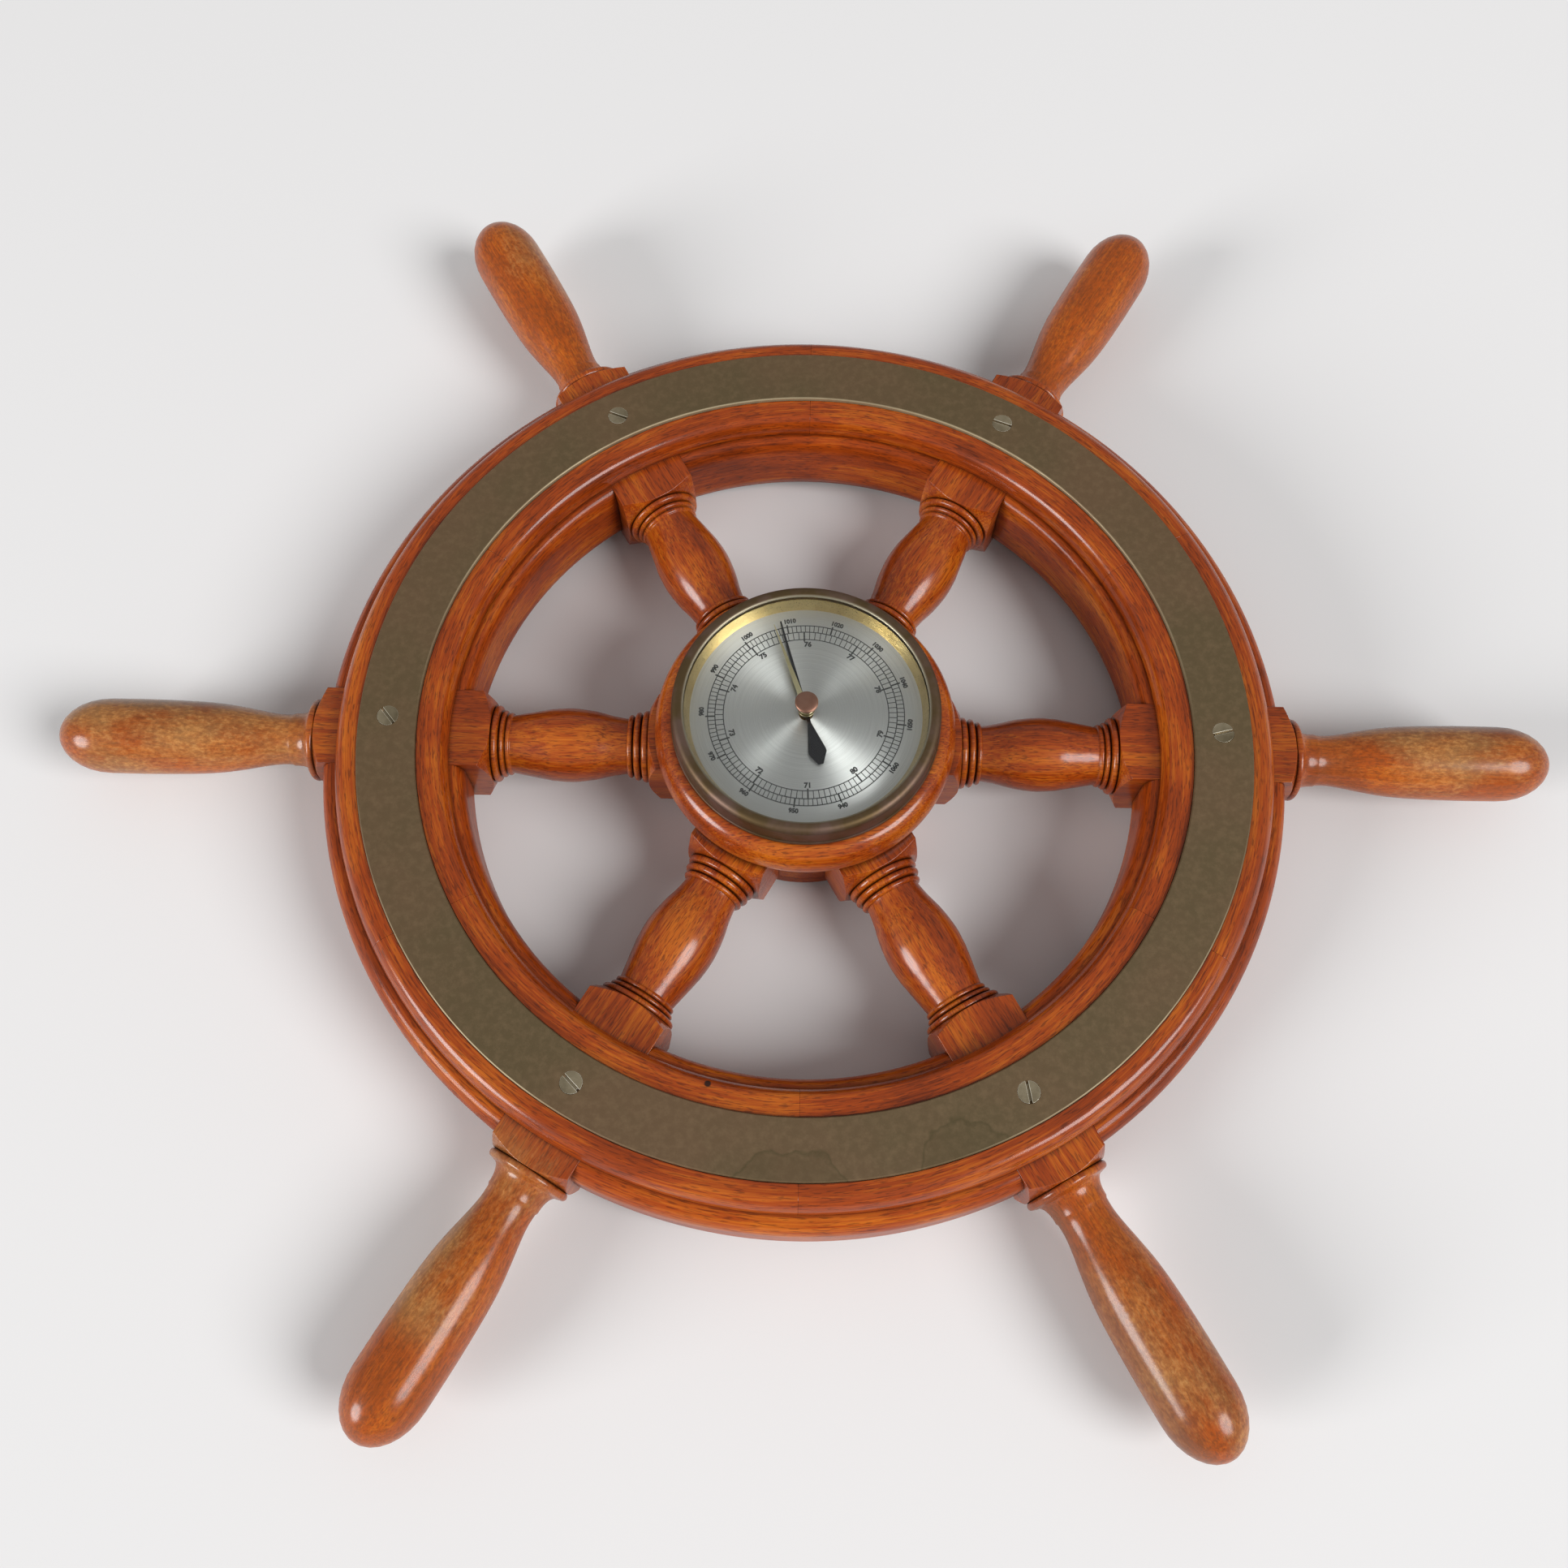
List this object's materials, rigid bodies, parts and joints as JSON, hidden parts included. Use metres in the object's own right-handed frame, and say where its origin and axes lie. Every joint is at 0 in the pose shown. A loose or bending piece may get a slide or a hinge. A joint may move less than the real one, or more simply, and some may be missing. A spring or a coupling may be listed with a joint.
{
  "type": "ship wheel barometer",
  "caption": "Aneroid barometer let into the hub of a turned wooden ship's steering wheel, with a brass rim ring and a keyhole plate to hang it.",
  "frame": {"origin": "centre of the wheel on the plane of its back, where the hub axis meets the wall", "axes": "+Z along the hub axis towards the dial, +X along the first spoke to the right of the dial, +Y towards the top of the dial"},
  "size_m": [0.47, 0.4094, 0.0566],
  "materials": {
    "front_mahogany": "glossy orange-red varnish over turned mahogany",
    "middle_mahogany": "glossy red-brown varnish",
    "back_mahogany": "satin red-brown varnish",
    "spoke_mahogany": "glossy varnish, worn on the handles",
    "tarnished_brass": "dull brown tarnish",
    "nickel_steel": "bright nickel plate",
    "case_brass": "dull spun brass",
    "bezel_brass": "tarnished turned brass",
    "gilt_brass": "bright gilt",
    "plate_brass": "sawn and lacquered",
    "brushed_dial": "silvered, brushed in rays",
    "black_paint": "satin black",
    "bright_steel": "polished",
    "copper_knob": "worn copper-brown",
    "capsule_metal": "pressed alloy sheet",
    "clear_glass": "flat and clear"
  },
  "bodies": {
    "wheel": {"front_felloe_1": "front_mahogany", "front_felloe_2": "front_mahogany", "front_felloe_3": "front_mahogany", "front_felloe_4": "front_mahogany", "front_felloe_5": "front_mahogany", "front_felloe_6": "front_mahogany", "middle_felloe_1": "middle_mahogany", "middle_felloe_2": "middle_mahogany", "middle_felloe_3": "middle_mahogany", "middle_felloe_4": "middle_mahogany", "middle_felloe_5": "middle_mahogany", "middle_felloe_6": "middle_mahogany", "back_felloe_1": "back_mahogany", "back_felloe_2": "back_mahogany", "back_felloe_3": "back_mahogany", "back_felloe_4": "back_mahogany", "back_felloe_5": "back_mahogany", "back_felloe_6": "back_mahogany", "spoke_1": "spoke_mahogany", "spoke_2": "spoke_mahogany", "spoke_3": "spoke_mahogany", "spoke_4": "spoke_mahogany", "spoke_5": "spoke_mahogany", "spoke_6": "spoke_mahogany", "brass_ring": "tarnished_brass", "ring_screws": "nickel_steel", "hub_cap": "front_mahogany", "hub_core": "middle_mahogany", "hub_back": "back_mahogany", "hub_screws": "nickel_steel", "hanger_plate": "plate_brass", "hanger_screws": "plate_brass", "case": "case_brass", "bezel": "bezel_brass", "glass": "clear_glass", "sloped_ring": "gilt_brass", "dial": "brushed_dial", "glass_bush": "gilt_brass", "base_plate": "plate_brass", "base_screws": "nickel_steel", "adjusting_bar": "plate_brass", "capsule": "capsule_metal", "rocker_bracket": "plate_brass", "arbor_cock": "plate_brass", "hairspring": "bright_steel", "bridge_plate": "plate_brass", "pillars": "plate_brass", "movement_screws": "nickel_steel"},
    "pointer": {"pointer": "black_paint", "pointer_arbor": "bright_steel"},
    "set_hand": {"set_hand": "gilt_brass", "setting_knob": "copper_knob"},
    "rocker": {"rocker_arbor": "bright_steel"},
    "chain": {"chain": "bright_steel"},
    "capsule_stud": {"capsule_stud": "plate_brass"},
    "adjusting_screw": {"adjusting_screw": "nickel_steel"}
  },
  "joints": [
    {"name": "pointer_turn", "type": "hinge", "parent": "wheel", "child": "pointer", "pos_m": [0, 0, 0.0371], "axis": [0, 0, 1], "range_deg": [-140, 140]},
    {"name": "set_hand_turn", "type": "hinge", "parent": "wheel", "child": "set_hand", "pos_m": [0, 0, 0.053], "axis": [0, 0, 1], "continuous": true},
    {"name": "rocker_rock", "type": "hinge", "parent": "wheel", "child": "rocker", "pos_m": [0.01041, 0, 0.0293], "axis": [0, 1, 0], "range_deg": [-12.8, 12.8]},
    {"name": "chain_run", "type": "slide", "parent": "wheel", "child": "chain", "axis": [1, 0, 0], "range_m": [-0.00173, 0.00173]},
    {"name": "capsule_lift", "type": "slide", "parent": "wheel", "child": "capsule_stud", "axis": [0, 0, 1], "range_m": [-0.00043, 0.00043], "deforming": ["capsule"]},
    {"name": "adjusting_turn", "type": "hinge", "parent": "wheel", "child": "adjusting_screw", "pos_m": [0.00851, -0.02, 0.015], "axis": [0, 0, 1], "range_deg": [-270, 270]}
  ],
  "couplings": [
    {"joint": "rocker_rock", "follows": "pointer_turn", "ratio": 0.090323},
    {"joint": "chain_run", "follows": "pointer_turn", "m_per_rad": 0.0007},
    {"joint": "capsule_lift", "follows": "pointer_turn", "m_per_rad": 0.00017161}
  ]
}
